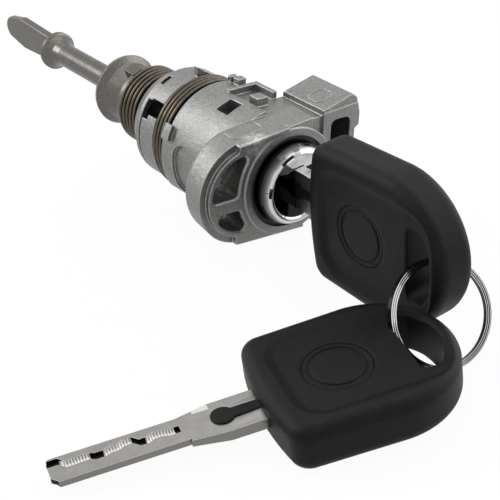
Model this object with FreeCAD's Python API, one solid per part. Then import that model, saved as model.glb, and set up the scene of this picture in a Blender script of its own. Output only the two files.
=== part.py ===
"""Car door lock cylinder with its two keys, in millimetres.

The lock lies along Y: its face looks along -Y and its tail points along +Y.
+Z is up and +X runs along the flange towards the square block.  The origin is
on the lock's axis, in the plane of the flange's front face.  The first key
stands in the lock, in the plane X = 0.  The second lies on the surface, and a
split ring links the two.
"""
import FreeCAD, Part

import math
import os

from FreeCAD import Base, Rotation, Placement

V = Base.Vector
AXIS_Y = V(0, 1, 0)
ORIGIN = V(0, 0, 0)

# Fits
running_gap = 0.08
static_gap = 0.05
blade_gap = 0.2

# Housing casting
flange_roll_deg = 7.0
body_radius = 14.5
body_rear_y = 27.5
face_hole_radius = 10.9
face_hole_depth = 4.5
bore_radius = 11.5
drum_center_u = -12.2
drum_radius = 12.1
drum_depth = 8.5
drum_rear_round = 1.6
flange_half_height = 12.2
flange_top_right_u = 6.0
flange_top_right_w = 13.9
flange_rear_rise = 0.6
flange_rear_inset = 1.3
flange_foot_u = 5.0
flange_foot_w = -12.9
drum_rim_width = 1.9
drum_rim_step = 1.2
drum_rim_end_u = -14.5
boss_radius = 12.7
boss_proud = 0.4
window_radius = 9.0
window_wall_radius = 14.2
window_depth = 6.9
window_corner = 1.2
window_mouth = 0.35
crossbar_top_w = -0.6
crossbar_bottom_w = -3.8
lip_width = 1.0
lip_left_u = -14.7
lip_right_u = -0.9
lip_proud = 0.45
casting_core = 8.0
shelf_left_u = -1.0
shelf_w = 13.4
shelf_rear_y = 22.0
ridge_width = 1.1
ridge_height = 1.7
ridge_left_u = -1.5
ridge_right_u = 7.2
square_boss_u = 1.5
square_boss_y = 13.9
square_boss_side = 3.0
square_boss_top_w = 15.4
block_left_u = 9.2
block_right_u = 20.0
block_depth = 14.5
block_bottom_w = -13.2
block_corner = 1.1
block_round = 0.5
block_left_w = 14.8
block_peak_w = 17.1
block_slot_u = 14.4
block_slot_width = 5.8
block_slot_top_w = 12.0
block_slot_bottom_w = -9.0
block_slot_depth = 11.5
block_slot_corner = 1.6
body_slot_front_y = 14.0
body_slot_rear_y = 18.3
body_slot_start_deg = 5
body_slot_end_deg = 23
pad_radius = 15.3
arm_radius = 15.2
arm_front_y = 26.0
arm_rear_y = 28.2
arm_start_deg = 55
arm_end_deg = 117
lug_radius = 16.5
lug_front_y = 25.0
lug_end_deg = 68
bumps = [
    (3.2, 5.4, 23.6, 25.6),
    (3.0, 4.8, 26.3, 27.4),
]
bump_top_w = 15.7

# Lock cylinder inside the housing
plug_radius = 8.3
plug_rear_y = 35.0
head_radius = 9.3
head_rear_y = 4.2
head_front_y = -3.1
cap_radius = 9.85
cap_wall = 0.45
cap_ridge_y = -4.0
cap_ridge_radius = 8.1
cap_flat_y = -3.6
sleeve_rear_y = 36.3
seal_front_y = 0.2
seal_rear_y = 3.4

# Wafers
wafer_count = 8
wafer_first_y = 7.6
wafer_pitch = 3.1
wafer_thickness = 1.2
wafer_half_width = 4.6
wafer_code = [0.3, -0.2, 0.1, -0.3, 0.25, 0.0, -0.15, 0.3]
wafer_spring_radius = 0.65

# Return spring, clutch ring, tail
wire_sides = 12
spring_wire = 1.15
return_spring_front_y = 28.0
return_spring_turns = 4
return_spring_pitch = 1.25
clutch_front_y = 34.3
clutch_step_y = 41.0
clutch_rear_y = 44.4
clutch_radius = 13.7
return_spring_radius = clutch_radius + 0.02
clutch_rear_radius = 11.8
clutch_wall = 1.5
clutch_web = 2.0
clutch_bore_radius = 6.0
fin_height = 2.6
fin_rear_y = 35.6
fin_crest_deg = -4
fin_foot_deg = -28
clutch_windows = [
    (34.0, 38.6, 42, 59),
    (37.5, 40.0, 44, 64),
    (39.4, 40.0, 60, 118),
    (39.1, 40.4, 12, 25),
]
tail_spring_wire = 1.1
tail_spring_radius = 9.35
tail_spring_front_y = 46.9
tail_spring_turns = 5
tail_spring_pitch = 1.45
tail_hub_radius = 8.7
tail_hub_rear_y = 57.0
tail_journal_front_y = 38.5
cone_neck_radius = 5.0
cone_radius = 9.1
cone_rear_y = 65.7
cone_rim = 0.9
rod_radius = 3.04
collar_y = 99.1
collar_radius = 5.1
collar_rim = 1.9
paddle_root_width = 7.2
paddle_width = 8.9
paddle_thickness = 2.6
tail_tip_y = 125.5

# Key, in its own frame: u towards the ring end, v across, w through the bow
badge_y = -28.5
bow_shoulder_u = -16.0
bow_half_width = 17.4
bow_shoulder_half_width = 16.6
bow_arc_center_u = 7.1
bow_half_thickness = 5.2
bow_corner = 4.2
bow_edge = 2.8
panel_depth = 0.9
panel_half_width = 11.5
panel_left_u = -10.5
panel_corner = 5.0
panel_slope = 2.6
panel_rise = 1.3
badge_radius = 7.1
badge_seat_depth = 0.8
badge_thickness = 0.7
ring_hole_left_u = 13.9
ring_hole_arc_radius = 14.1
ring_hole_half_length = 8.8
ring_hole_corner = 1.8
blade_root_half_width = 4.85
blade_root_thickness = 2.6
blade_root_end_u = -28.5
blade_half_width = 3.5
blade_thickness = 2.0
blade_tip_u = -58.5
blade_tip_chamfer = 1.5
blade_tang_u = -5.0
insert_center_u = -24.1
insert_radius = 2.4
insert_bar_width = 2.8
insert_depth = 0.4
track_width = 1.9
track_depth = 0.65
track_end_u = -32.6
track_heights = [2.1, 0.8, 0.9, 0.3, 0.8, 1.5, 0.1, 0.8, 0.3]
chip_radius = 1.5
chip_length = 12.0

# Second key and split ring
key_2_center = V(-28.75, -49.6, -13.5)
key_2_turn_deg = -18.9
key_2_tilt_deg = 4.0
ring_center = V(-2.16, -50.36, -9.55)
ring_normal = V(0.15, 0.85, -0.5)
ring_radius = 11.05
ring_band_radial = 1.3
ring_leaf = 0.44
ring_leaf_gap = 0.06
ring_turns = 2.5
ring_start_deg = 90.0


def rod(radius, y_from, y_to):
    """A cylinder on the lock's axis."""
    return Part.makeCylinder(radius, y_to - y_from, V(0, y_from, 0), AXIS_Y)


def tube(outer, inner, y_from, y_to):
    """A plain ring on the lock's axis."""
    return rod(outer, y_from, y_to).cut(rod(inner, y_from - 1, y_to + 1))


def turned(points):
    """A solid turned about the lock's axis from (radius, y) corners."""
    corners = [V(r, y, 0) for r, y in points]
    wire = Part.makePolygon(corners + corners[:1])
    return Part.Face(wire).revolve(ORIGIN, AXIS_Y, 360)


def box(x0, x1, y0, y1, z0, z1):
    """A box from its lowest to its highest corner."""
    return Part.makeBox(x1 - x0, y1 - y0, z1 - z0, V(x0, y0, z0))


def wedge_y(corners, y_from, y_to):
    """A prism along Y from (x, z) corners."""
    points = [V(x, y_from, z) for x, z in corners]
    face = Part.Face(Part.makePolygon(points + points[:1]))
    return face.extrude(V(0, y_to - y_from, 0))


def around(radius, angle_deg):
    """The (x, z) point at an angle from +Z towards -X."""
    angle = math.radians(angle_deg)
    return (-radius * math.sin(angle), radius * math.cos(angle))


def sector(outer, inner, y_from, y_to, start_deg, end_deg):
    """Part of a ring; angles run from +Z towards -X."""
    ring = tube(outer, inner, y_from, y_to)
    reach = 4 * outer
    span = end_deg - start_deg
    steps = max(2, int(math.ceil(span / 40)))
    corners = [(0, 0)]
    for i in range(steps + 1):
        corners.append(around(reach, start_deg + span * i / steps))
    return ring.common(wedge_y(corners, y_from - 1, y_to + 1))


def rounded(face, radius):
    """The face with its outward corners rounded."""
    return face.makeOffset2D(-radius).makeOffset2D(radius)


def softened(solid, radius, wanted):
    """The solid with the edges that the test picks rounded."""
    edges = [e for e in solid.Edges if wanted(e)]
    return solid.makeFillet(radius, edges)


def lies_at_y(edge, y):
    """True for an edge that lies in one plane across the lock's axis."""
    low, high = edge.BoundBox.YMin, edge.BoundBox.YMax
    return abs(low - y) < 0.02 and abs(high - y) < 0.02


def disc_face(u, w, radius, y):
    """A round face in a plane across the lock's axis."""
    return Part.Face(Part.Wire(Part.makeCircle(radius, V(u, y, w), AXIS_Y)))


def rect_face_y(u0, u1, w0, w1, y):
    """A rectangle in a plane across the lock's axis."""
    corners = [V(u0, y, w0), V(u1, y, w0), V(u1, y, w1), V(u0, y, w1)]
    return Part.Face(Part.makePolygon(corners + corners[:1]))


def flange_wire(y, left_u, top_left, top_right):
    """One section of the flange: a round left end and straight sides."""
    top = V(top_left[0], y, top_left[1])
    right_top = V(top_right[0], y, top_right[1])
    right_bottom = V(flange_foot_u, y, flange_foot_w)
    bottom = V(drum_center_u, y, -flange_half_height)
    round_end = Part.Arc(bottom, V(left_u, y, 0), top).toShape()
    sides = [
        Part.makeLine(top, right_top),
        Part.makeLine(right_top, right_bottom),
        Part.makeLine(right_bottom, bottom),
    ]
    return Part.Wire([round_end] + sides)


def make_flange():
    """The drum-shaped flange, its stepped rim, windows and raised lip."""
    half = flange_half_height
    left = drum_center_u - drum_radius
    right_u = flange_top_right_u
    front = flange_wire(0, left, (drum_center_u, half), (right_u, flange_top_right_w))
    rear_left = (drum_center_u - 1.0, half + flange_rear_rise)
    rear_right = (right_u, flange_top_right_w + flange_rear_rise)
    rear = flange_wire(drum_depth, left + flange_rear_inset, rear_left, rear_right)
    flange = Part.makeLoft([front, rear], True, True)
    flange = softened(flange, drum_rear_round, lambda e: lies_at_y(e, drum_depth))
    inner = front.makeOffset2D(-drum_rim_width)
    rim_zone = Part.Face(front.makeOffset2D(2)).extrude(V(0, drum_rim_step, 0))
    rim_zone = rim_zone.cut(Part.Face(inner).extrude(V(0, drum_rim_step, 0)))
    keep = box(drum_rim_end_u, 30, -1, drum_rim_step + 1, -30, 30)
    flange = flange.cut(rim_zone.cut(keep))
    pocket = disc_face(drum_center_u, 0, window_radius, 0)
    pocket = pocket.cut(disc_face(0, 0, window_wall_radius, 0))
    bar = rect_face_y(-40, 10, crossbar_bottom_w, crossbar_top_w, 0)
    pocket = pocket.cut(bar)
    for face in pocket.Faces:
        opening = rounded(face, window_corner)
        flange = flange.cut(opening.extrude(V(0, window_depth, 0)))
        mouth = opening.makeOffset2D(window_mouth).Wires[0]
        throat = opening.Wires[0].copy()
        throat.translate(V(0, window_mouth, 0))
        flange = flange.cut(Part.makeLoft([mouth, throat], True, True))
    slope = (flange_top_right_w - half) / (right_u - drum_center_u)
    lip_left_w = half + slope * (lip_left_u - drum_center_u) - 0.15
    lip_right_w = half + slope * (lip_right_u - drum_center_u)
    lip = wedge_y([
        (lip_left_u, lip_left_w - lip_width),
        (lip_right_u, lip_right_w - lip_width),
        (lip_right_u, lip_right_w),
        (lip_left_u, lip_left_w),
    ], -lip_proud, 1.0)
    return flange.fuse(lip)


def make_block():
    """The square block at the right end, with its sloped top."""
    outline = [
        (block_left_u, block_bottom_w),
        (block_right_u - 1.2, block_bottom_w),
        (block_right_u - 1.2, 8.6),
        (block_right_u, 9.2),
        (block_right_u, block_left_w - 2.6),
        (block_right_u - 0.5, block_left_w - 0.6),
        (block_right_u - block_corner, block_peak_w - 0.9),
        (block_right_u - block_corner - 1.2, block_peak_w),
        (block_left_u, block_left_w),
    ]
    block = wedge_y(outline, 0, block_depth)
    block = softened(block, block_round, lambda e: not lies_at_y(e, 0) and e.BoundBox.XMax > block_right_u - 3)
    slope = wedge_y([(0, block_left_w - 1.4), (40, block_left_w + 1.4), (40, 40), (0, 40)], -1, 0.1)
    corner = Part.makeBox(60, 12, 12, V(-10, 0, 0))
    corner.rotate(V(0, 0, 0), V(1, 0, 0), 35)
    corner.translate(V(0, -9.0, block_left_w + 1.3))
    return block.cut(slope).cut(corner)


def make_block_slot():
    """The tall slot's space, which stops short of the wall around the lock."""
    half = block_slot_width / 2
    slot = rect_face_y(block_slot_u - half, block_slot_u + half, block_slot_bottom_w, block_slot_top_w, -1)
    space = rounded(slot, block_slot_corner).extrude(V(0, block_slot_depth + 1, 0))
    return space.cut(rod(boss_radius, -2, block_slot_depth + 1))


def make_shelf():
    """The flat on the body's crest, with its ridge, square boss and two bumps."""
    core = casting_core
    floor = box(shelf_left_u, block_left_u, 0.6, block_depth, core, shelf_w)
    front = Part.makeBox(60, 6, 6, V(-30, 0, 0))
    front.rotate(ORIGIN, V(1, 0, 0), 40)
    front.translate(V(0, -3.0, shelf_w - 0.2))
    floor = floor.cut(front)
    top = shelf_w + ridge_height
    front_y = shelf_rear_y - ridge_width
    rear_ridge = box(ridge_left_u, ridge_right_u, front_y, shelf_rear_y, core, top)
    side_ridge = box(ridge_right_u - ridge_width, ridge_right_u, block_depth, shelf_rear_y, core, top)
    half = square_boss_side / 2
    boss = box(square_boss_u - half, square_boss_u + half, square_boss_y - half, square_boss_y + half,
               core, square_boss_top_w)
    raised = [rear_ridge, side_ridge, boss]
    for left_u, right_u, y_from, y_to in bumps:
        raised.append(box(left_u, right_u, y_from, y_to, core, bump_top_w))
    return floor.fuse(raised)


def make_side_pad():
    """The raised pad on the left of the body, with its pocket, arm and lug."""
    pad = sector(pad_radius, body_radius - 2, drum_depth - 1, body_rear_y, arm_start_deg, arm_end_deg)
    pocket = Part.makeBox(10, 12.2, 13.0, V(-18, 11.6, -7.0))
    vertical = [e for e in pocket.Edges if abs(e.tangentAt(e.FirstParameter).x) > 0.9]
    pocket = pocket.makeFillet(3.2, vertical)
    pad = pad.cut(pocket.cut(rod(body_radius - 1.2, 0, 40)))
    clear = body_radius + 0.1
    arm = sector(arm_radius, clear, arm_front_y, arm_rear_y, arm_start_deg, arm_end_deg)
    root = sector(arm_radius, body_radius - 2, arm_front_y, body_rear_y, arm_start_deg, arm_end_deg)
    lug = sector(lug_radius, body_radius - 2, lug_front_y, body_rear_y, arm_start_deg, lug_end_deg)
    return pad.fuse([arm, root, lug])


def make_housing():
    """The die-cast housing: body, flange, block, shelf and side pad."""
    body = rod(body_radius, drum_depth - 1, body_rear_y)
    boss = rod(boss_radius, -boss_proud, drum_depth)
    boss = boss.cut(box(-20, 20, -1, drum_depth + 1, -20, -flange_half_height))
    top_cut = box(ridge_left_u, ridge_right_u, 0, shelf_rear_y - ridge_width, shelf_w, 30)
    body = body.cut(top_cut)
    housing = body.fuse([make_flange(), boss, make_block(), make_shelf()])
    housing = housing.cut(make_block_slot())
    housing.rotate(ORIGIN, AXIS_Y, flange_roll_deg)
    housing = housing.fuse(make_side_pad())
    housing = housing.cut(rod(face_hole_radius, -5, face_hole_depth + 1))
    housing = housing.cut(rod(bore_radius, face_hole_depth, body_rear_y + 5))
    slot = sector(body_radius + 3, bore_radius - 1, body_slot_front_y, body_slot_rear_y,
                  body_slot_start_deg, body_slot_end_deg)
    return housing.cut(slot).removeSplitter()


def make_seal_ring():
    """The rubber ring between the housing and the chrome cap."""
    outer = face_hole_radius - static_gap
    inner = cap_radius + running_gap
    return tube(outer, inner, seal_front_y, seal_rear_y)


def make_sleeve():
    """The fixed sleeve that the plug turns in, grooved for the wafers' ends."""
    sleeve = tube(bore_radius - static_gap, plug_radius + running_gap, face_hole_depth, sleeve_rear_y)
    last_y = wafer_first_y + wafer_pitch * (wafer_count - 1) + wafer_thickness
    groove = box(-2.6, 2.6, wafer_first_y - 1, last_y + 1, -plug_radius - 1.3, plug_radius + 1.3)
    return sleeve.cut(groove)


def keyway(half_x, half_z, y_from, y_to):
    """The slot that a blade of this section passes through."""
    return box(-half_x, half_x, y_from, y_to, -half_z, half_z)


root_slot_half_x = blade_root_thickness / 2 + blade_gap
root_slot_half_z = blade_root_half_width + blade_gap
narrow_slot_half_x = blade_thickness / 2 + blade_gap
narrow_slot_half_z = blade_half_width + blade_gap
root_end_y = badge_y - blade_root_end_u
tip_y = badge_y - blade_tip_u


def make_plug():
    """The turned plug: head, body, keyway, wafer slots and rear tongue slot."""
    head = turned([
        (0, head_rear_y),
        (head_radius, head_rear_y),
        (head_radius, head_front_y + 0.85),
        (head_radius - 0.95, head_front_y + 0.05),
        (0, head_front_y + 0.05),
    ])
    plug = rod(plug_radius, head_rear_y - 1, plug_rear_y).fuse(head)
    plug = plug.cut(keyway(root_slot_half_x, root_slot_half_z, head_front_y - 1, root_end_y + 3.2))
    plug = plug.cut(keyway(narrow_slot_half_x, narrow_slot_half_z, 0, tip_y + 1.0))
    slot_half = wafer_half_width + static_gap
    for i in range(wafer_count):
        y = wafer_first_y + wafer_pitch * i
        slot = box(-slot_half, slot_half, y - static_gap, y + wafer_thickness + static_gap, -12, 12)
        plug = plug.cut(slot)
    shutter_room = box(root_slot_half_x - 0.1, 4.2, head_front_y - 1, 1.6, -5.0, 5.0)
    tongue_slot = box(-12, 12, plug_rear_y - 2.6, plug_rear_y + 1, -1.8, 1.8)
    return plug.cut(shutter_room).cut(tongue_slot)


def make_chrome_cap():
    """The domed chrome cap crimped over the plug's head."""
    wall = cap_wall
    outer = [(cap_radius, head_rear_y), (cap_radius, -0.6), (9.65, -1.8), (9.2, -2.9), (8.7, -3.6)]
    ridge = [(cap_ridge_radius, cap_ridge_y), (7.7, -3.95), (7.4, cap_flat_y), (0, cap_flat_y)]
    inner = [(0, cap_flat_y + wall), (7.9, cap_flat_y + wall), (8.4, -3.1), (head_radius + static_gap, -2.3)]
    back = [(head_radius + static_gap, head_rear_y)]
    cap = turned(outer + ridge + inner + back)
    return cap.cut(keyway(root_slot_half_x, root_slot_half_z, -6, 0))


def make_shutter():
    """The dust flap, folded back beside the blade while the key is in."""
    flap = box(1.75, 2.15, -2.2, 1.3, -4.4, 4.4)
    knuckle = Part.makeCylinder(0.65, 8.8, V(2.4, -2.2, -4.4))
    pin_hole = Part.makeCylinder(0.35, 12, V(2.4, -2.2, -6))
    return flap.fuse(knuckle).cut(pin_hole)


def make_shutter_pin():
    """The pin that the dust flap turns on."""
    return Part.makeCylinder(0.3, 9.7, V(2.4, -2.2, -4.85))


def make_wafer(i):
    """One wafer: a plate with a window for the blade and rounded ends."""
    y = wafer_first_y + wafer_pitch * i
    shift = wafer_code[i % len(wafer_code)]
    plate = rod(plug_radius - 0.1, y, y + wafer_thickness)
    plate = plate.common(box(-wafer_half_width, wafer_half_width, y, y + wafer_thickness, -12, 12))
    window_x = narrow_slot_half_x + 0.1
    window_z = narrow_slot_half_z + 0.4
    window = box(-window_x, window_x, y - 1, y + 3, shift - window_z, shift + window_z)
    notch = box(wafer_half_width - 1.5, 9, y - 1, y + 3, -2.2, 2.2)
    return plate.cut(window).cut(notch)


def make_wafer_springs():
    """The small springs that push the wafers, one in each wafer's side notch."""
    springs = []
    for i in range(wafer_count):
        y = wafer_first_y + wafer_pitch * i + wafer_thickness / 2
        x = wafer_half_width - 0.75
        springs.append(Part.makeCylinder(wafer_spring_radius - 0.1, 4.3, V(x, y, -2.15)))
    return Part.makeCompound(springs)


def coil(radius, wire, y_from, turns, pitch):
    """A closely wound wire coil about the lock's axis."""
    height = pitch * turns
    helix = Part.makeHelix(pitch, height, radius)
    corners = []
    for i in range(wire_sides):
        angle = 2 * math.pi * (i + 0.5) / wire_sides
        corners.append(V(radius + wire / 2 * math.cos(angle), 0, wire / 2 * math.sin(angle)))
    section = Part.makePolygon(corners + corners[:1])
    spring = Part.Wire(helix.Edges).makePipeShell([section], True, True)
    spring.rotate(ORIGIN, V(1, 0, 0), -90)
    spring.translate(V(0, y_from + wire / 2, 0))
    return spring


def make_return_spring():
    """The torsion spring between the housing's lug and the clutch ring."""
    return coil(return_spring_radius, spring_wire, return_spring_front_y, return_spring_turns,
                return_spring_pitch)


def make_clutch_ring():
    """The cast ring behind the return spring, with its stepped windows and fin."""
    wall = clutch_wall
    shell = turned([
        (clutch_radius, clutch_front_y),
        (clutch_radius, clutch_step_y),
        (clutch_rear_radius, clutch_rear_y),
        (clutch_bore_radius, clutch_rear_y),
        (clutch_bore_radius, clutch_rear_y - clutch_web),
        (clutch_rear_radius - wall, clutch_rear_y - clutch_web),
        (clutch_radius - wall, clutch_step_y),
        (clutch_radius - wall, sleeve_rear_y + 0.3),
        (bore_radius + running_gap, sleeve_rear_y + 0.3),
        (bore_radius + running_gap, clutch_front_y),
    ])
    for turn in (0, 180):
        for y_from, y_to, start_deg, end_deg in clutch_windows:
            window = sector(clutch_radius + 2, clutch_radius - 3, y_from, y_to, start_deg + turn, end_deg + turn)
            shell = shell.cut(window)
    return shell.fuse(make_fin())


def make_fin():
    """The stop fin: a wedge that rises from the ring to a crest at one end."""
    inner = clutch_radius - clutch_wall / 2
    middle_deg = (fin_crest_deg + fin_foot_deg) / 2
    corners = [
        around(inner, fin_foot_deg),
        around(inner, middle_deg),
        around(inner, fin_crest_deg),
        around(clutch_radius + fin_height, fin_crest_deg),
        around(clutch_radius, fin_foot_deg),
    ]
    return wedge_y(corners, clutch_front_y, fin_rear_y)


def make_coupler():
    """The cross-keyed disc that carries the plug's turn to the tail."""
    disc = rod(8.0, plug_rear_y + 0.2, plug_rear_y + 2.4)
    tongue = box(-7.6, 7.6, plug_rear_y - 2.4, plug_rear_y + 0.4, -1.7, 1.7).common(rod(7.8, 0, 60))
    rear = box(-1.7, 1.7, plug_rear_y + 2.2, plug_rear_y + 5.2, -4.8, 4.8)
    return disc.fuse([tongue, rear])


def make_tail():
    """The cast tail: journal, spring hub, trumpet flange, rod, collar, paddle."""
    journal = rod(clutch_bore_radius - running_gap, tail_journal_front_y, clutch_rear_y + 0.6)
    rear_slot = box(-1.8, 1.8, tail_journal_front_y - 1, plug_rear_y + 5.4, -8, 8)
    journal = journal.cut(rear_slot)
    neck = clutch_rear_y + 0.4
    body = turned([
        (0, neck),
        (tail_hub_radius, neck),
        (tail_hub_radius, tail_hub_rear_y),
        (cone_neck_radius, tail_hub_rear_y + 0.6),
        (cone_neck_radius + 0.7, tail_hub_rear_y + 3.0),
        (cone_radius - 1.6, cone_rear_y - 1.5),
        (cone_radius, cone_rear_y),
        (cone_radius - 0.3, cone_rear_y + cone_rim),
        (rod_radius + 0.8, cone_rear_y + cone_rim + 0.4),
        (rod_radius, cone_rear_y + cone_rim + 1.6),
        (rod_radius, collar_y - 4.4),
        (rod_radius + 0.5, collar_y - 2.2),
        (collar_radius - 0.5, collar_y - 0.4),
        (collar_radius, collar_y),
        (collar_radius, collar_y + collar_rim * 0.5),
        (collar_radius - 0.6, collar_y + collar_rim),
        (rod_radius, collar_y + collar_rim + 0.5),
        (0, collar_y + collar_rim + 0.5),
    ])
    lug = box(-1.4, 1.4, tail_hub_rear_y - 1.6, tail_hub_rear_y + 2.4, 4, tail_hub_radius + 0.8)
    lug.rotate(ORIGIN, AXIS_Y, -15)
    return journal.fuse([body, lug, make_paddle()])


def make_paddle():
    """The flat tongue at the tail's end that the door latch takes."""
    half = paddle_width / 2
    y0 = collar_y + 0.5
    y1 = tail_tip_y
    root = paddle_root_width / 2
    points = [
        V(0, y0, -root), V(0, y1 - 9, -half), V(0, y1 - 3.2, -half * 0.72), V(0, y1, 0),
        V(0, y1 - 3.2, half * 0.72), V(0, y1 - 9, half), V(0, y0, root),
    ]
    tip = Part.Arc(points[2], points[3], points[4]).toShape()
    sides = [
        Part.makeLine(points[0], points[1]), Part.makeLine(points[1], points[2]), tip,
        Part.makeLine(points[4], points[5]), Part.makeLine(points[5], points[6]),
        Part.makeLine(points[6], points[0]),
    ]
    blank = Part.Face(Part.Wire(sides)).extrude(V(paddle_thickness, 0, 0))
    blank.translate(V(-paddle_thickness / 2, 0, 0))
    long_edges = [e for e in blank.Edges if abs(e.BoundBox.XMax - e.BoundBox.XMin) < 0.01]
    return blank.makeFillet(paddle_thickness * 0.3, long_edges)


def make_retaining_clip():
    """The spring clip that keeps the tail's journal in the clutch ring."""
    y = clutch_rear_y - clutch_web - 0.9
    clip = tube(7.4, clutch_bore_radius - running_gap + 0.03, y, y + 0.8)
    mouth = box(-3.0, 3.0, y - 1, y + 2, -9, 0)
    return clip.cut(mouth)


def make_tail_spring():
    """The small coil on the tail's hub that centres the tail."""
    return coil(tail_spring_radius, tail_spring_wire, tail_spring_front_y, tail_spring_turns,
                tail_spring_pitch)


def key_outline(w):
    """The bow's outline at height w: a blunt shoulder and a round ring end."""
    half = bow_shoulder_half_width
    full = bow_half_width
    shoulder_mid = V(bow_shoulder_u - 0.7, 0, w)
    low = V(bow_shoulder_u + 1.2, -half, w)
    high = V(bow_shoulder_u + 1.2, half, w)
    low_side = V(bow_arc_center_u, -full, w)
    high_side = V(bow_arc_center_u, full, w)
    end = V(bow_arc_center_u + full, 0, w)
    edges = [
        Part.Arc(high, shoulder_mid, low).toShape(),
        Part.makeLine(low, low_side),
        Part.Arc(low_side, end, high_side).toShape(),
        Part.makeLine(high_side, high),
    ]
    return Part.Face(Part.Wire(edges))


def ring_hole_face(w):
    """The crescent hole near the bow's round end."""
    face = Part.Face(Part.Wire(Part.makeCircle(ring_hole_arc_radius, V(bow_arc_center_u, 0, w))))
    half = ring_hole_half_length
    u0 = ring_hole_left_u
    corners = [V(u0, -half, w), V(u0 + 20, -half, w), V(u0 + 20, half, w), V(u0, half, w)]
    window = Part.Face(Part.makePolygon(corners + corners[:1]))
    return rounded(face.common(window).Faces[0], ring_hole_corner)


def make_bow():
    """A key's moulded bow in the key's own frame."""
    t = bow_half_thickness
    outline = rounded(key_outline(-t), bow_corner)
    bow = outline.extrude(V(0, 0, 2 * t))
    rim = [e for e in bow.Edges if abs(e.BoundBox.ZMax - e.BoundBox.ZMin) < 0.01]
    bow = bow.makeFillet(bow_edge, rim)
    panel_right = bow_arc_center_u + ring_hole_arc_radius - 1.0
    half = panel_half_width
    for side in (1, -1):
        level = side * (t - panel_depth)
        corners = [V(panel_left_u, -half, level), V(panel_right, -half, level),
                   V(panel_right, half, level), V(panel_left_u, half, level)]
        panel = rounded(Part.Face(Part.makePolygon(corners + corners[:1])), panel_corner)
        mouth = panel.makeOffset2D(panel_slope)
        mouth.translate(V(0, 0, side * panel_depth * panel_rise))
        bow = bow.cut(Part.makeLoft([panel.Wires[0], mouth.Wires[0]], True, True))
        seat = Part.makeCylinder(badge_radius + static_gap, 6, V(0, 0, level - side * badge_seat_depth),
                                 V(0, 0, side))
        bow = bow.cut(seat)
    bow = bow.cut(ring_hole_face(-t - 1).extrude(V(0, 0, 2 * t + 2)))
    tang = box(bow_shoulder_u - 5, blade_tang_u, -blade_root_half_width, blade_root_half_width,
               -blade_root_thickness / 2, blade_root_thickness / 2)
    chip = Part.makeCylinder(chip_radius + static_gap, chip_length + 0.2, V(-2.6, -chip_length / 2 - 0.1, 0), AXIS_Y)
    bow = bow.cut(tang).cut(chip)
    return bow.fuse(make_insert(1)).fuse(make_insert(-1))


def make_insert(side):
    """The tongue of the bow's plastic that fills the recess in the blade."""
    top = blade_root_thickness / 2
    level = min(side * top, side * (top - insert_depth))
    disc = Part.makeCylinder(insert_radius, insert_depth, V(insert_center_u, 0, level))
    half = insert_bar_width / 2
    bar = Part.makeBox(bow_shoulder_u + 1.5 - insert_center_u, 2 * half, insert_depth,
                       V(insert_center_u, -half, level))
    return disc.fuse(bar)


def make_blade():
    """A key's steel blade: wide root, narrow tip, side tracks and insert recess."""
    root = box(blade_root_end_u, blade_tang_u, -blade_root_half_width, blade_root_half_width,
               -blade_root_thickness / 2, blade_root_thickness / 2)
    chamfer = blade_tip_chamfer
    t = blade_thickness / 2
    half = blade_half_width
    outline = [
        V(blade_root_end_u + 1, -half, -t), V(blade_root_end_u + 1, half, -t),
        V(blade_tip_u + chamfer * 0.4, half, -t), V(blade_tip_u, half - chamfer * 0.4, -t),
        V(blade_tip_u, -half + chamfer, -t), V(blade_tip_u + chamfer, -half, -t),
    ]
    narrow = Part.Face(Part.makePolygon(outline + outline[:1])).extrude(V(0, 0, 2 * t))
    ramp = [
        V(blade_root_end_u + 0.5, half - 0.5, -t), V(blade_root_end_u - 3.8, half - 0.5, -t),
        V(blade_root_end_u - 3.8, half + 0.1, -t), V(blade_root_end_u + 0.5, half + 0.7, -t),
    ]
    shoulder = Part.Face(Part.makePolygon(ramp + ramp[:1])).extrude(V(0, 0, 2 * t))
    blade = root.fuse([narrow, shoulder])
    for side in (1, -1):
        blade = blade.cut(make_insert(side))
        track = make_track()
        if side < 0:
            track.rotate(ORIGIN, V(1, 0, 0), 180)
        blade = blade.cut(track)
    return blade


def make_track():
    """The milled track in one face of the blade, stepped at each wafer."""
    count = len(track_heights)
    pitch = (track_end_u - blade_tip_u) / count
    t = blade_thickness / 2
    top = []
    for i, height in enumerate(track_heights):
        u = blade_tip_u + pitch * (i + 0.5)
        flat = pitch * 0.28
        top.append((u - flat, height))
        top.append((u + flat, height))
    top[0] = (blade_tip_u - 1, track_heights[0])
    top[-1] = (track_end_u, track_heights[-1])
    half = track_width / 2
    upper = [V(u, v + half, t - track_depth) for u, v in top]
    lower = [V(u, v - half, t - track_depth) for u, v in reversed(top)]
    outline = upper + lower
    return Part.Face(Part.makePolygon(outline + outline[:1])).extrude(V(0, 0, 2))


def make_badge():
    """The plain round badge that sits in the bow's recess, with a ring groove."""
    level = bow_half_thickness - panel_depth - badge_seat_depth
    disc = Part.makeCylinder(badge_radius - static_gap, badge_thickness, V(0, 0, level))
    outer = Part.makeCylinder(badge_radius - 1.0, 2, V(0, 0, level + badge_thickness - 0.25))
    inner = Part.makeCylinder(badge_radius - 1.6, 2, V(0, 0, level + badge_thickness - 0.3))
    return disc.cut(outer.cut(inner))


def make_chip():
    """The glass transponder in the bow."""
    return Part.makeCylinder(chip_radius, chip_length, V(-2.6, -chip_length / 2, 0), AXIS_Y)


def place_key_1(shape):
    """Stands a key in the lock: u along -Y, v along +Z, w along -X."""
    shape = shape.copy()
    turn = Rotation(V(0, -1, 0), V(0, 0, 1), V(-1, 0, 0), "XYZ")
    shape.Placement = Placement(V(0, badge_y, 0), turn)
    return shape


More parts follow.
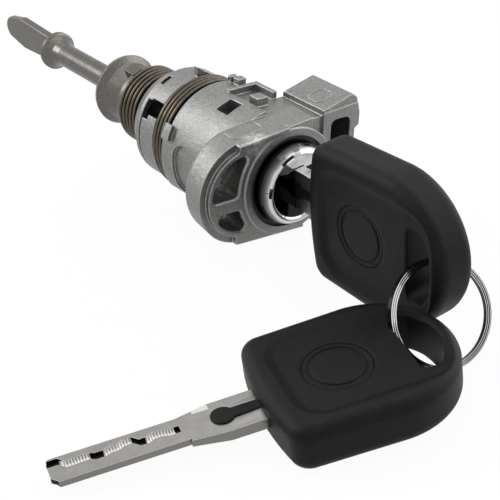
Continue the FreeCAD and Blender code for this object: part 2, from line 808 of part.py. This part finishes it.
def place_key_2(shape):
    """Lays a key on its shoulder, its ring end lifted by the split ring under it."""
    shape = shape.copy()
    turn = Rotation(V(0, 0, 1), key_2_turn_deg)
    tilt = Rotation(V(0, -1, 0), key_2_tilt_deg)
    shape.Placement = Placement(key_2_center, turn.multiply(tilt))
    return shape


def make_split_ring():
    """The split ring: one flat strip wound in turns that press together."""
    pitch = ring_leaf + ring_leaf_gap
    helix = Part.makeHelix(pitch, pitch * ring_turns, ring_radius)
    half = ring_band_radial / 2
    corners = [V(ring_radius - half, 0, 0), V(ring_radius + half, 0, 0),
               V(ring_radius + half, 0, ring_leaf), V(ring_radius - half, 0, ring_leaf)]
    strip = Part.makePolygon(corners + corners[:1])
    ring = Part.Wire(helix.Edges).makePipeShell([strip], True, True)
    ring.translate(V(0, 0, -(pitch * ring_turns + ring_leaf) / 2))
    ring.rotate(ORIGIN, V(0, 0, 1), ring_start_deg)
    ring.Placement = Placement(ring_center, Rotation(V(0, 0, 1), ring_normal)).multiply(ring.Placement)
    return ring


def main():
    """Builds every piece and writes each to its own file."""
    parts = {
        "housing": make_housing(),
        "seal_ring": make_seal_ring(),
        "sleeve": make_sleeve(),
        "plug": make_plug(),
        "chrome_cap": make_chrome_cap(),
        "shutter": make_shutter(),
        "shutter_pin": make_shutter_pin(),
        "wafer_springs": make_wafer_springs(),
        "return_spring": make_return_spring(),
        "clutch_ring": make_clutch_ring(),
        "coupler": make_coupler(),
        "tail_shaft": make_tail(),
        "retaining_clip": make_retaining_clip(),
        "tail_spring": make_tail_spring(),
        "split_ring": make_split_ring(),
    }
    for i in range(wafer_count):
        parts["wafer_%d" % (i + 1)] = make_wafer(i)
    pieces = {"blade": make_blade(), "bow": make_bow(), "badge": make_badge(), "chip": make_chip()}
    for name, piece in pieces.items():
        parts["key_1_" + name] = place_key_1(piece)
        parts["key_2_" + name] = place_key_2(piece)
    os.makedirs("parts", exist_ok=True)
    for name, shape in parts.items():
        shape.exportStep("parts/%s.step" % name)
        print(name, len(shape.Solids), shape.isValid(), round(shape.Volume, 1))


main()
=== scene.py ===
from math import radians

import bpy
from mathutils import Matrix, Vector


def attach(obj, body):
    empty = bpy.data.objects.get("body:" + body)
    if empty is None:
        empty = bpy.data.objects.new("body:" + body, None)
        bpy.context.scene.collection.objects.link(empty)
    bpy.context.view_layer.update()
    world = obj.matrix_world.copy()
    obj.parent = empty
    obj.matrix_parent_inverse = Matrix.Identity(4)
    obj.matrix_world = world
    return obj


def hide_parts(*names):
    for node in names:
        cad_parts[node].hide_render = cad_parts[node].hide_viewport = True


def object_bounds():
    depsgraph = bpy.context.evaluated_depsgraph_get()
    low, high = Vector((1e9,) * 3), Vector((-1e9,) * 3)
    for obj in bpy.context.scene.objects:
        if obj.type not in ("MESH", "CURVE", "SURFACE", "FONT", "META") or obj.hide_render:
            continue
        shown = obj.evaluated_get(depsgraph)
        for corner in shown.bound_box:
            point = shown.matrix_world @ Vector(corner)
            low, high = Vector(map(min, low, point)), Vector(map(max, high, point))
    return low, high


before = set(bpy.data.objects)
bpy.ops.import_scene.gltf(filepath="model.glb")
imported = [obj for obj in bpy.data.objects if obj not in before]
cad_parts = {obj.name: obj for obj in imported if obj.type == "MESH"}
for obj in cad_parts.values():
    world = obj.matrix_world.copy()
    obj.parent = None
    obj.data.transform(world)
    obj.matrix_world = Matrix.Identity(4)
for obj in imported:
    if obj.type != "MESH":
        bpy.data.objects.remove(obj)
cad_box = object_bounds()


# The housing is one zinc die casting.  Its skin is a fine, slightly sparkling
# grain from the mould.  Its edges are painted brighter, partly rubbed bare by
# tumbling and partly a painted highlight where the rounded edges catch the light.
# Patches around and inside the windows are painted lighter, partly rubbed bare
# and partly painted light on the window pockets.  The clutch ring is cast the same way.
MM = 0.001
MM_PER_METRE = 1000


class Value:
    """A shader socket that adds a Math node for each operator used on it."""

    def __init__(self, nodes, socket):
        self.nodes = nodes
        self.socket = socket

    def __add__(self, other):
        return self.nodes.math("ADD", self, other)

    def __radd__(self, other):
        return self.nodes.math("ADD", other, self)

    def __sub__(self, other):
        return self.nodes.math("SUBTRACT", self, other)

    def __rsub__(self, other):
        return self.nodes.math("SUBTRACT", other, self)

    def __mul__(self, other):
        return self.nodes.math("MULTIPLY", self, other)

    def __rmul__(self, other):
        return self.nodes.math("MULTIPLY", other, self)

    def __gt__(self, other):
        return self.nodes.math("GREATER_THAN", self, other)

    def __lt__(self, other):
        return self.nodes.math("LESS_THAN", self, other)

    def __abs__(self):
        return self.nodes.math("ABSOLUTE", self)

    def fraction(self):
        """What the number has past its whole part."""
        return self.nodes.math("FRACT", self)


class Nodes:
    """A tree of shader nodes."""

    def __init__(self, tree):
        self.tree = tree

    def node(self, kind, settings=None, inputs=None, output=0):
        """Adds a node, sets it up, feeds its sockets and returns one output."""
        node = self.tree.nodes.new(kind)
        for key, value in (settings or {}).items():
            if key == "stops":
                for spare in list(node.color_ramp.elements)[1:-1]:
                    node.color_ramp.elements.remove(spare)
                first, last = node.color_ramp.elements
                first.position, first.color = value[0][0], (*value[0][1], 1)
                last.position, last.color = value[-1][0], (*value[-1][1], 1)
                for place, color in value[1:-1]:
                    node.color_ramp.elements.new(place).color = (*color, 1)
            else:
                setattr(node, key, value)
        for key, value in (inputs or {}).items():
            self.feed(node.inputs[key], value)
        return Value(self, node.outputs[output])

    def feed(self, socket, value):
        """Links a value into a socket, or sets the socket to a plain number."""
        if isinstance(value, Value):
            self.tree.links.new(value.socket, socket)
        else:
            socket.default_value = value

    def math(self, operation, first, second=0):
        """One or two numbers put through a Math node."""
        return self.node("ShaderNodeMath", {"operation": operation}, {0: first, 1: second})

    def vector(self, operation, first, second=(0, 0, 0), output="Vector"):
        """One or two places or directions put through a Vector Math node."""
        return self.node("ShaderNodeVectorMath", {"operation": operation},
                         {0: first, 1: second}, output=output)

    def clamp(self, value):
        """A number kept between 0 and 1."""
        return self.node("ShaderNodeClamp", {}, {"Value": value})

    def ray(self, kind):
        """1 where the ray that meets a point is of this kind, and 0 elsewhere."""
        return self.node("ShaderNodeLightPath", output="Is %s Ray" % kind)


class Finish(Nodes):
    """A procedural material, with a plain level under each pattern that is set."""

    def __init__(self, name, color, **settings):
        self.material = bpy.data.materials.new(name)
        self.material.use_nodes = True
        super().__init__(self.material.node_tree)
        self.shader = self.tree.nodes["Principled BSDF"]
        self.shader.inputs["Base Color"].default_value = (*color, 1)
        for key, value in settings.items():
            self.shader.inputs[key].default_value = value

    def place(self):
        """Where a point lies on the object, in metres."""
        return self.node("ShaderNodeTexCoord", output="Object")

    def along(self, axis):
        """How far a point lies along one of the object's axes, in millimetres."""
        return self.node("ShaderNodeSeparateXYZ", {}, {0: self.place()}, output=axis) * MM_PER_METRE

    def from_axis(self):
        """How far a point lies from the lock's own axis, in millimetres."""
        across = self.vector("MULTIPLY", self.place(), (1, 0, 1))
        return self.vector("LENGTH", across, output="Value") * MM_PER_METRE

    def noise(self, size_mm, detail=2.0, roughness=0.5, stretch=(1, 1, 1)):
        """A random pattern with grains of about this size."""
        where = self.node("ShaderNodeMapping", {}, {"Vector": self.place(), "Scale": stretch})
        inputs = {"Vector": where, "Scale": 1 / (size_mm * MM), "Detail": detail, "Roughness": roughness}
        return self.node("ShaderNodeTexNoise", {}, inputs)

    def facing(self):
        """The direction that a point's surface faces."""
        return self.node("ShaderNodeNewGeometry", output="Normal")

    def soft_edge(self, radius_mm):
        """The same direction with the surface's edges rounded off."""
        return self.node("ShaderNodeBevel", {"samples": 6}, {"Radius": radius_mm * MM})

    def edge(self, radius_mm, gain):
        """How close a point is to a sharp edge."""
        alike = self.vector("DOT_PRODUCT", self.soft_edge(radius_mm), self.facing(), output="Value")
        return self.clamp((1 - alike) * gain)

    def mix(self, amount, first, second):
        """Two colours mixed by an amount."""
        as_color = [c if isinstance(c, Value) else (*c, 1) for c in (first, second)]
        return self.node("ShaderNodeMix", {"data_type": "RGBA"},
                         {"Factor": amount, 6: as_color[0], 7: as_color[1]}, output=2)

    def bump(self, height, depth_mm, strength, normal):
        """The direction of a surface raised by a height pattern."""
        inputs = {"Height": height, "Distance": depth_mm * MM, "Strength": strength, "Normal": normal}
        return self.node("ShaderNodeBump", {}, inputs)

    def set(self, name, value):
        """Feeds one of the shader's own sockets."""
        self.feed(self.shader.inputs[name], value)

    def cover(self, *names):
        """Gives this finish to CAD nodes or to pieces of the scene."""
        for name in names:
            mesh = bpy.data.objects[name].data
            mesh.materials.clear()
            mesh.materials.append(self.material)


def cast_metal(name, dull, bright, rough, edge_mm, grain_depth, worn_and_lit=()):
    """Grained die-cast metal, with edges painted brighter (wear and a painted highlight) and patches
    painted lighter (wear and painted light).
    """
    metal = Finish(name, dull, Metallic=1.0, Roughness=rough)
    cloud = metal.noise(6.0, detail=4, roughness=0.6)
    grain = metal.noise(0.42, detail=3, roughness=0.75)
    pits = metal.noise(1.3, detail=2, roughness=0.6)
    # The edge mask paints the edges brighter: partly wear, partly a painted highlight.
    edge = metal.edge(edge_mm, gain=4.0)
    tone = metal.mix(cloud, [c * 0.78 for c in dull], [c * 1.15 for c in dull])
    tone = metal.mix((grain - 0.5) * 1.6 + 0.12, tone, bright)
    # Each patch is painted lighter: partly rubbed bare metal, partly painted light.
    for center, reach in worn_and_lit:
        gap = metal.vector("DISTANCE", metal.place(), center, output="Value") * MM_PER_METRE
        near = metal.clamp((reach - gap) * 0.4 + cloud - 0.5)
        tone = metal.mix(near * (0.35 + (pits > 0.53) * 0.5), tone, [c * 1.3 for c in bright])
    metal.set("Base Color", metal.mix(edge * 0.75, tone, bright))
    metal.set("Roughness", rough + (grain - 0.5) * 0.3 - edge * 0.08)
    metal.set("Normal", metal.bump(grain + pits * 1.2, grain_depth, 0.7, metal.soft_edge(edge_mm)))
    return metal


zinc_dull = (0.185, 0.185, 0.180)
zinc_bright = (0.46, 0.46, 0.45)
worn_and_lit_patches = [
    ((-0.0085, 0.0, 0.0125), 3.8),
    ((-0.0130, 0.0, 0.0095), 3.4),
    ((-0.0150, 0.0052, 0.0045), 5.4),
    ((-0.0145, 0.0050, -0.0070), 4.6),
]
zinc = cast_metal("zinc", zinc_dull, zinc_bright, rough=0.46, edge_mm=0.45, grain_depth=0.13,
                  worn_and_lit=worn_and_lit_patches)
zinc.cover("housing", "clutch_ring")


# Two faint outlines stand on the housing's top, as the edges of inserts in the
# mould leave them.  Each is a thin rounded frame of the casting's own metal,
# projected on to it from above and given a wall half sunk in its skin.
mark_start_z = 0.03
mark_corner = 1.6 * MM
mark_line = 0.28 * MM
mark_thickness = 0.22 * MM
marks = [
    ("mark_flange", (-0.0082, 0.0050), (0.0085, 0.0048)),
    ("mark_block", (0.0146, 0.0058), (0.0050, 0.0048)),
]
for name, center, size in marks:
    bpy.ops.object.select_all(action="DESELECT")
    bpy.ops.mesh.primitive_plane_add(size=1, location=(*center, mark_start_z))
    mark = bpy.context.object
    mark.name = name
    mark.scale = (*size, 1)
    bpy.ops.object.transform_apply(location=True, rotation=False, scale=True)
    bpy.ops.object.mode_set(mode="EDIT")
    bpy.ops.mesh.bevel(offset=mark_corner, segments=6, affect="VERTICES")
    bpy.ops.mesh.inset(thickness=mark_line)
    bpy.ops.mesh.delete(type="FACE")
    bpy.ops.mesh.select_all(action="SELECT")
    bpy.ops.mesh.subdivide(number_cuts=5)
    bpy.ops.object.mode_set(mode="OBJECT")
    wrap = mark.modifiers.new("wrap", "SHRINKWRAP")
    wrap.target = bpy.data.objects["housing"]
    wrap.wrap_method = "PROJECT"
    wrap.use_project_z = True
    wrap.use_positive_direction = False
    wrap.use_negative_direction = True
    bpy.ops.object.modifier_apply(modifier="wrap")
    wall = mark.modifiers.new("wall", "SOLIDIFY")
    wall.thickness = mark_thickness
    wall.offset = 0.0
    bpy.ops.object.modifier_apply(modifier="wall")
    zinc.cover(name)
    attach(mark, "lock")


# The tail shaft is cast as well, in a darker and warmer metal whose skin is
# finer than the housing's.
tail_dull = (0.115, 0.109, 0.100)
tail_bright = (0.24, 0.23, 0.213)
tail_zinc = cast_metal("tail_zinc", tail_dull, tail_bright, rough=0.34, edge_mm=0.3, grain_depth=0.03)
tail_zinc.cover("tail_shaft")


# The lock's inner pieces and the clip that keeps its tail are turned or pressed
# steel, with a faint ripple left by the tool.
turned_steel = Finish("turned_steel", (0.16, 0.158, 0.152), Metallic=1.0, Roughness=0.32)
ripple = turned_steel.noise(0.3, detail=2, roughness=0.6, stretch=(1, 6, 1))
turned_steel.set("Roughness", 0.24 + ripple * 0.2)
turned_steel.set("Normal", turned_steel.bump(ripple, 0.02, 0.4, turned_steel.soft_edge(0.15)))
turned_steel.cover("sleeve", "plug", "coupler", "retaining_clip")
turned_steel.cover("shutter", "shutter_pin", "wafer_springs")


# The wafers are stamped from brass sheet, and stand one behind the other in the
# plug's slots.
wafer_count = 8
brass = Finish("brass", (0.55, 0.40, 0.18), Metallic=1.0, Roughness=0.3)
brass_grain = brass.noise(0.5, detail=2, roughness=0.6)
brass.set("Roughness", 0.24 + brass_grain * 0.16)
brass.set("Normal", brass.bump(brass_grain, 0.02, 0.3, brass.soft_edge(0.1)))
brass.cover(*["wafer_%d" % (i + 1) for i in range(wafer_count)])


# The cap over the plug's head is deep-drawn sheet, crimped and chrome plated.
# It is a mirror with very slight waves.  Its crimped rim carries painted
# reflection bands, and its side is painted darker towards the seal, partly old
# grease and partly painted shade.  The flat around the key carries a painted
# reflection of the dark bow.
cap_front_y = -4.2
grease_and_shade_per_mm = 0.22
grease_and_shade_stops = [
    (0.0, (0.80, 0.80, 0.81)),
    (0.06, (0.78, 0.78, 0.79)),
    (0.10, (0.40, 0.40, 0.40)),
    (0.16, (0.62, 0.62, 0.63)),
    (0.25, (0.24, 0.24, 0.24)),
    (0.36, (0.10, 0.10, 0.10)),
    (0.50, (0.035, 0.035, 0.035)),
    (1.0, (0.012, 0.012, 0.012)),
]
bow_reflection_radius = 7.5
bow_reflection_top = 3.5
bow_reflection_color = (0.018, 0.018, 0.019)
chrome = Finish("chrome", (0.74, 0.74, 0.75), Metallic=1.0, Roughness=0.06)
waves = chrome.noise(3.0, detail=1)
depth = (chrome.along("Y") - cap_front_y + waves * 0.5) * grease_and_shade_per_mm
# A ramp along the cap's depth: painted reflection bands on the rim, then darker towards the seal, partly
# old grease and partly painted shade.
grease_and_shade = chrome.node("ShaderNodeValToRGB", {"stops": grease_and_shade_stops}, {"Fac": depth})
below = chrome.along("Z") < bow_reflection_top + waves * 2
# The flat near the axis, below the bow's top, is painted dark: a painted reflection of the black bow.
painted_bow_reflection = chrome.clamp((bow_reflection_radius - chrome.from_axis()) * 3 * below)
chrome.set("Base Color", chrome.mix(painted_bow_reflection, grease_and_shade, bow_reflection_color))
chrome.set("Roughness", 0.04 + waves * 0.05)
chrome.set("Normal", chrome.bump(waves, 0.05, 0.25, chrome.soft_edge(0.12)))
chrome.cover("chrome_cap")


# The seal ring behind the cap is black rubber, pressed between the housing and
# the cap's side.
rubber = Finish("rubber", (0.014, 0.014, 0.014), Roughness=0.6)
rubber_grain = rubber.noise(0.3, detail=2)
rubber.set("Roughness", 0.5 + rubber_grain * 0.2)
rubber.set("Normal", rubber.bump(rubber_grain, 0.02, 0.4, rubber.soft_edge(0.15)))
rubber.cover("seal_ring")


# Both springs are wound from round wire with a brown, oiled finish.  Only the
# outer crests of the turns show the wire's colour; the rest of each turn, between
# and behind the crests, is painted near black as painted shade.
crest_depth = 0.42
painted_gap_shade = (0.006, 0.005, 0.004)
wire_dark = (0.03, 0.025, 0.020)
wire_bright = (0.17, 0.146, 0.118)
for name, outer_radius in (("return_spring", 14.3), ("tail_spring", 9.9)):
    wire = Finish(name + "_wire", (0.11, 0.09, 0.068), Metallic=1.0, Roughness=0.38)
    film = wire.noise(1.2, detail=3)
    # Below the outer crest the wire is painted near black: painted shade between the turns.
    crest = wire.clamp((wire.from_axis() - outer_radius + crest_depth) * 2.8)
    wire.set("Base Color", wire.mix(crest, painted_gap_shade, wire.mix(film, wire_dark, wire_bright)))
    wire.set("Roughness", 0.28 + film * 0.2)
    wire.cover(name)


# Each key's bow is moulded in soft black plastic with a fine speckle.  Its edges
# are painted a little lighter, partly rubbed and partly a painted sheen.  Its
# badge is a plain disc of the same plastic.
speckle_dark = (0.0003, 0.0003, 0.0004)
speckle_light = (0.0075, 0.0075, 0.008)
rubbed_edge_and_sheen = (0.03, 0.03, 0.0315)
plastic = Finish("soft_plastic", (0.006, 0.006, 0.0065), Roughness=0.5, **{"Specular IOR Level": 0.15})
speckle = (plastic.noise(0.42, detail=3, roughness=0.8) - 0.5) * 2.8 + 0.5
smear = plastic.noise(5.0, detail=3, roughness=0.6)
speckled = plastic.mix(speckle, speckle_dark, speckle_light)
# The edges are painted lighter: rubbing and a painted sheen.
plastic.set("Base Color", plastic.mix(plastic.edge(0.7, gain=2.5) * 0.35, speckled, rubbed_edge_and_sheen))
plastic.set("Roughness", 0.34 + speckle * 0.2 + smear * 0.14)
plastic.set("Normal", plastic.bump(speckle, 0.045, 0.8, plastic.soft_edge(1.1)))
plastic.cover("key_1_bow", "key_2_bow", "key_1_badge", "key_2_badge")


# The blades are nickelled steel, stained on their broad faces.  The cutter
# left the winding track in them bright and ribbed; the steps between its slopes
# are painted dark as painted shadow.  Their edges carry a painted highlight, one
# shoulder a painted highlight patch, and their narrow faces a painted light tone
# of their own, lighter on the upright key and darker on the flat one.  Sizes are
# from the blade's middle, in mm.
track_top = 0.97
track_half_width = 3.2
steps_per_mm = 0.1205
step_share = 0.31
ribs_per_mm = 1.7
shoulder_side = 3.3
shoulder_middle = -27.6
shoulder_half_length = 1.7
blade_plain = (0.22, 0.213, 0.203)
stain_dark = (0.20, 0.193, 0.182)
stain_light = (0.31, 0.302, 0.288)
rib_dark = (0.30, 0.285, 0.27)
rib_bright = (0.95, 0.94, 0.92)
step_shadow = (0.012, 0.012, 0.012)
painted_edge_highlight = (0.75, 0.745, 0.73)
shoulder_highlight = (0.55, 0.54, 0.52)


def blade_metal(name, center, along, out, narrow_painted_light):
    """Blade steel on a key that lies at this centre, along and out directions."""
    steel = Finish(name, blade_plain, Metallic=1.0, Roughness=0.3)
    stain = steel.noise(2.2, detail=4, roughness=0.6)
    scratch = steel.noise(0.4, detail=2, roughness=0.6)

    def measured(direction):
        arm = steel.vector("SUBTRACT", steel.place(), center)
        return steel.vector("DOT_PRODUCT", arm, direction, output="Value") * MM_PER_METRE

    narrow = abs(steel.vector("DOT_PRODUCT", steel.facing(), out, output="Value")) < 0.8
    across = measured(out.cross(along))
    track = (abs(measured(out)) < track_top) * (abs(across) < track_half_width)
    step = (measured(along) * steps_per_mm + 0.05).fraction() < step_share
    ribs = (measured(along) * ribs_per_mm).fraction()
    # The dark steps in the track are painted shadow.
    cut = steel.mix(step, steel.mix(ribs, rib_dark, rib_bright), step_shadow)
    shoulder = abs(measured(along) - shoulder_middle) < shoulder_half_length
    tone = steel.mix(stain, stain_dark, stain_light)
    # A painted highlight along the blade's edges.
    tone = steel.mix(steel.edge(0.12, gain=6.0), tone, painted_edge_highlight)
    # The narrow faces get a painted light tone: lighter on the upright key, darker on the flat one.
    tone = steel.mix(narrow, tone, narrow_painted_light)
    # A painted highlight on the shoulder's upward facet.
    tone = steel.mix((across > shoulder_side) * shoulder, tone, shoulder_highlight)
    steel.set("Base Color", steel.mix(track, tone, cut))
    steel.set("Roughness", 0.26 + scratch * 0.18 - narrow * 0.08)
    steel.set("Normal", steel.bump(scratch, 0.01, 0.4, steel.soft_edge(0.12)))
    return steel


upright = blade_metal("blade_steel_upright", center=Vector((0.0, -0.0285, 0.0)),
                      along=Vector((0.0, -1.0, 0.0)), out=Vector((-1.0, 0.0, 0.0)),
                      narrow_painted_light=(0.78, 0.765, 0.75))
upright.cover("key_1_blade")


# The second key lies flat, so its blade shows from above: the thick root runs
# down in one slope to a slanted line, where the thinner cut part starts.  Its
# mesh is a copy of the solid's, with an edge added across the root where the
# slope starts.  In the key's own directions u runs along, v across and w up.
key_2_center = Vector((-0.02875, -0.0496, -0.0135))
key_2_turn = Matrix.Rotation(radians(-18.9), 3, "Z") @ Matrix.Rotation(radians(-4.0), 3, "Y")
key_2_place = Matrix.Translation(key_2_center) @ key_2_turn.to_4x4()
key_2_frame = key_2_place.inverted()
key_2_along = key_2_turn @ Vector((1, 0, 0))
key_2_up = key_2_turn @ Vector((0, 0, 1))
slope_start_u = -24.0
slope_end_u = -28.5
slope_end_far_v = 4.85
slope_end_near_v = -4.1
slope_end_slant = 0.637
slope_end_middle_u = -28.99
slope_end_low_w = -0.45
corner_v = 3.9
same_edge = 0.05
cut_part_share = 0.4
flat_top_u = -20
flat_top_w = 1.0

bpy.ops.object.select_all(action="DESELECT")
sloped = bpy.data.objects.new("key_2_blade_sloped", bpy.data.objects["key_2_blade"].data.copy())
bpy.context.collection.objects.link(sloped)
bpy.context.view_layer.objects.active = sloped
sloped.select_set(True)
bpy.ops.object.mode_set(mode="EDIT")
bpy.ops.mesh.select_all(action="SELECT")
bpy.ops.mesh.remove_doubles(threshold=0.001 * MM)
bpy.ops.mesh.customdata_custom_splitnormals_clear()
bpy.ops.mesh.bisect(plane_co=key_2_place @ Vector((slope_start_u * MM, 0, 0)), plane_no=key_2_along)
bpy.ops.object.mode_set(mode="OBJECT")
bpy.ops.object.shade_flat()
for vertex in sloped.data.vertices:
    u, v, w = (key_2_frame @ vertex.co) / MM
    if abs(u - slope_end_u) < same_edge:
        v = slope_end_far_v if v > corner_v else max(v, slope_end_near_v)
        u = slope_end_slant * v + slope_end_middle_u
        w = max(w, slope_end_low_w)
    elif u < slope_end_u:
        w = max(w, w * cut_part_share)
    if u < flat_top_u:
        w = min(w, flat_top_w)
    vertex.co = key_2_place @ (Vector((u, v, w)) * MM)

flat = blade_metal("blade_steel_flat", center=key_2_center, along=key_2_along, out=key_2_up,
                   narrow_painted_light=(0.20, 0.193, 0.184))
flat.cover("key_2_blade_sloped")
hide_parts("key_2_blade")
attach(sloped, "key_2")


# The transponder in each bow is a small glass rod, moulded in under the badge.
glass = Finish("glass", (0.6, 0.6, 0.6), Roughness=0.05, IOR=1.5)
cloudy = glass.noise(0.8, detail=2)
glass.set("Roughness", 0.04 + cloudy * 0.08)
glass.set("Transmission Weight", 1.0)
glass.cover("key_1_chip", "key_2_chip")


# The split ring is polished steel strip, wound so that its turns press
# together.  A dark line shows between each two, widened towards +X as a
# painted reflection of the black key, and the ring's inward faces are painted
# near black as painted shade.
ring_center = (-0.00216, -0.05036, -0.00955)
ring_axis = Vector((0.15, 0.85, -0.5)).normalized()
ring_inner_radius = 10.4
half_strip = 0.2167
seam_width = 0.09
key_reflection_width = 0.07
key_reflection_start_x = -4.0
inside_start = -4.0
strip_bright = (0.80, 0.79, 0.77)
seam_dark = (0.02, 0.02, 0.02)
inside_shade = (0.04, 0.04, 0.04)
ring_steel = Finish("ring_steel", (0.62, 0.61, 0.59), Metallic=1.0, Roughness=0.14)
rubbing = ring_steel.noise(0.6, detail=3)
arm = ring_steel.vector("SUBTRACT", ring_steel.place(), ring_center)
arm = ring_steel.vector("CROSS_PRODUCT", arm, ring_axis)
reach = ring_steel.vector("LENGTH", arm, output="Value") * MM_PER_METRE
strip = ring_steel.math("PINGPONG", reach - ring_inner_radius, half_strip)
# Towards +X the dark lines widen: a painted reflection of the black key.
key_reflection = ring_steel.clamp((ring_steel.along("X") - key_reflection_start_x) * 0.25)
seam = strip < seam_width + key_reflection * key_reflection_width
spoke = ring_steel.vector("CROSS_PRODUCT", ring_axis, arm)
outward = ring_steel.vector("DOT_PRODUCT", ring_steel.facing(), spoke, output="Value") * MM_PER_METRE
# Faces that look in towards the ring's middle are painted near black: painted shade.
inside = outward < inside_start
tone = ring_steel.mix(seam, strip_bright, seam_dark)
ring_steel.set("Base Color", ring_steel.mix(inside, tone, inside_shade))
ring_steel.set("Roughness", 0.08 + rubbing * 0.14)
ring_steel.set("Normal", ring_steel.bump(strip, 0.25, 0.9, ring_steel.soft_edge(0.12)))
ring_steel.cover("split_ring")


# The set lies on a wide pale sheet.  The sheet looks white to the camera and in
# mirrors, and still takes a faint shadow.
floor_size = 6
floor_z = cad_box[0][2]
shine_share = 0.95
bpy.ops.object.select_all(action="DESELECT")
bpy.ops.mesh.primitive_plane_add(size=floor_size, location=(0, 0, floor_z))
floor = bpy.context.object
floor.name = "floor"
paper = Finish("paper", (0.86, 0.86, 0.86), Roughness=0.8)
fibre = paper.noise(0.5, detail=2)
paper.set("Roughness", 0.75 + fibre * 0.1)
shine = paper.node("ShaderNodeEmission", {}, {"Color": (1, 1, 1, 1), "Strength": 1.0})
in_sight = paper.ray("Camera") + paper.ray("Glossy") + paper.ray("Transmission")
body = Value(paper, paper.shader.outputs["BSDF"])
sheet = paper.node("ShaderNodeMixShader", {}, {0: in_sight * shine_share, 1: body, 2: shine})
paper.feed(paper.tree.nodes["Material Output"].inputs["Surface"], sheet)
paper.cover("floor")


# The room is a pale tent all round.  It looks white to the camera and in
# mirrors, and lights the pieces at half that level.
fill_level = 0.5
world = bpy.data.worlds.new("room")
bpy.context.scene.world = world
world.use_nodes = True
room = Nodes(world.node_tree)
back = room.tree.nodes["Background"]
back.inputs["Color"].default_value = (1, 1, 1, 1)
in_sight = room.math("MAXIMUM", room.ray("Camera"), room.ray("Glossy"))
in_sight = room.math("MAXIMUM", in_sight, room.ray("Transmission"))
room.feed(back.inputs["Strength"], fill_level + in_sight * (1 - fill_level))


# Three soft lamps shape the pieces: a wide one above, one behind on the left
# that draws the casting's long side, and one low on the right.
def add_lamp(name, place, aim, size, power):
    """A soft square lamp that points at a spot on the object."""
    bpy.ops.object.light_add(type="AREA", location=place)
    lamp = bpy.context.object
    lamp.name = name
    lamp.data.size = size
    lamp.data.energy = power
    gap = [a - b for a, b in zip(aim, place)]
    lamp.rotation_euler = Vector(gap).to_track_quat("-Z", "Y").to_euler()


middle = (-0.01, 0.0, 0.0)
add_lamp("lamp_above", (0.15, 0.1, 0.65), middle, size=0.7, power=1.6)
add_lamp("lamp_left", (-0.38, 0.44, 0.42), middle, size=0.35, power=3.0)
add_lamp("lamp_right", (0.42, -0.12, 0.16), middle, size=0.5, power=1.7)


# The camera stands where the photograph was taken from, turned by the
# directions that run right, down and ahead in its picture.
camera_place = (-0.1688, -0.2155, 0.1548)
right = (0.786, -0.615, -0.056)
down = (-0.367, -0.391, -0.844)
ahead = (0.497, 0.684, -0.533)
camera_turn = Matrix((right, [-c for c in down], [-c for c in ahead])).transposed().to_4x4()
bpy.ops.object.camera_add()
camera = bpy.context.object
camera.name = "camera"
camera.matrix_world = Matrix.Translation(camera_place) @ camera_turn
camera.data.sensor_width = 36.0
camera.data.lens = 100.8
camera.data.clip_start = 0.01
bpy.context.scene.camera = camera
bpy.context.scene.view_settings.view_transform = "Standard"
